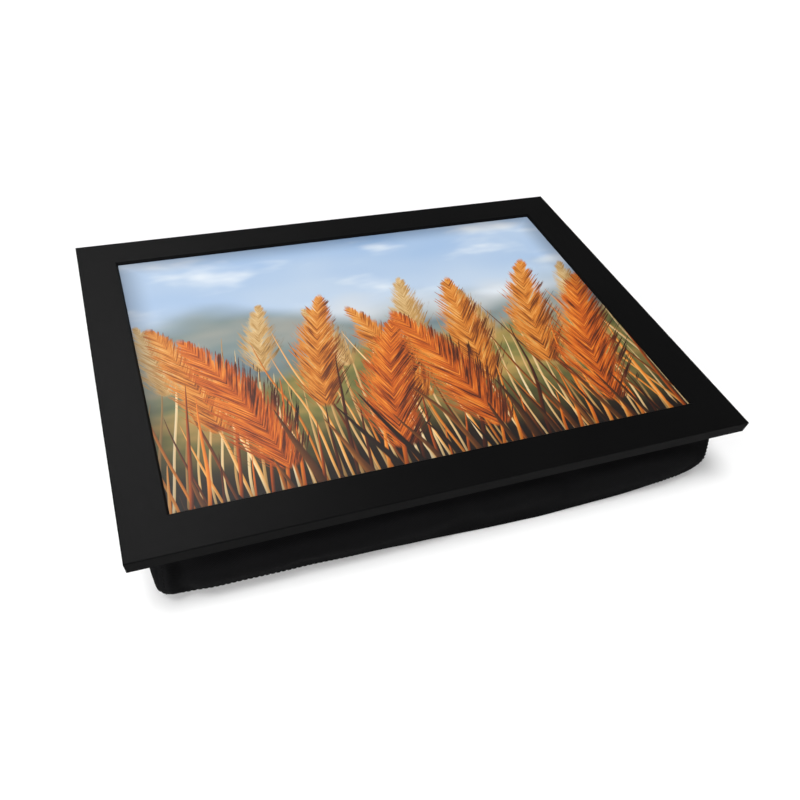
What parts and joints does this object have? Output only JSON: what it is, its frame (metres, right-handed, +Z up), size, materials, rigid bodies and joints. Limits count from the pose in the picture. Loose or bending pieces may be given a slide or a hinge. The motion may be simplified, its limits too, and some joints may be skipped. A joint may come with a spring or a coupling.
{
  "type": "lap tray with cushion",
  "caption": "Framed rectangular lap tray with a printed panel in a black mitred frame, on a soft bead-filled fabric cushion that peels off and has a zip at the back.",
  "frame": {"origin": "on the floor under the middle of the tray, at the bottom of the cushion", "axes": "+X to the right along the long front edge, +Y to the back, +Z up"},
  "size_m": [0.41, 0.31, 0.0643],
  "materials": {
    "frame_black": "satin",
    "steel": "satin",
    "fibreboard": "matte",
    "printed_face": "satin",
    "hook_tape": "matte",
    "loop_tape": "matte",
    "cushion_fabric": "matte",
    "bag_cloth": "matte",
    "beads": "matte",
    "zip_tape": "matte",
    "zip_plastic": "satin",
    "zip_metal": "satin"
  },
  "bodies": {
    "cushion": {"cushion_cover": "cushion_fabric", "cushion_top_panel": "cushion_fabric", "bead_bag": "bag_cloth", "bead_filling": "beads", "loop_patch_front_left": "loop_tape", "loop_patch_front_right": "loop_tape", "loop_patch_back_left": "loop_tape", "loop_patch_back_right": "loop_tape", "zip_tape_upper": "zip_tape", "zip_tape_lower": "zip_tape", "zip_coil": "zip_plastic", "zip_end_stops": "zip_metal"},
    "tray": {"front_rail": "frame_black", "back_rail": "frame_black", "left_rail": "frame_black", "right_rail": "frame_black", "corner_v_nails": "steel", "tray_board": "fibreboard", "print_sheet": "printed_face", "retaining_points": "steel", "hook_patch_front_left": "hook_tape", "hook_patch_front_right": "hook_tape", "hook_patch_back_left": "hook_tape", "hook_patch_back_right": "hook_tape"},
    "zip_slider": {"zip_slider": "zip_metal"},
    "zip_pull": {"zip_pull": "zip_metal"}
  },
  "joints": [
    {"name": "tray_lift", "type": "slide", "parent": "cushion", "child": "tray", "axis": [0, 0, 1], "range_m": [0, 0.12]},
    {"name": "zip_travel", "type": "slide", "parent": "cushion", "child": "zip_slider", "axis": [-1, 0, 0], "range_m": [0, 0.219]},
    {"name": "pull_flip", "type": "hinge", "parent": "zip_slider", "child": "zip_pull", "pos_m": [0.1095, 0.1508, 0.0315], "axis": [0, 0, -1], "range_deg": [0, 180]}
  ]
}
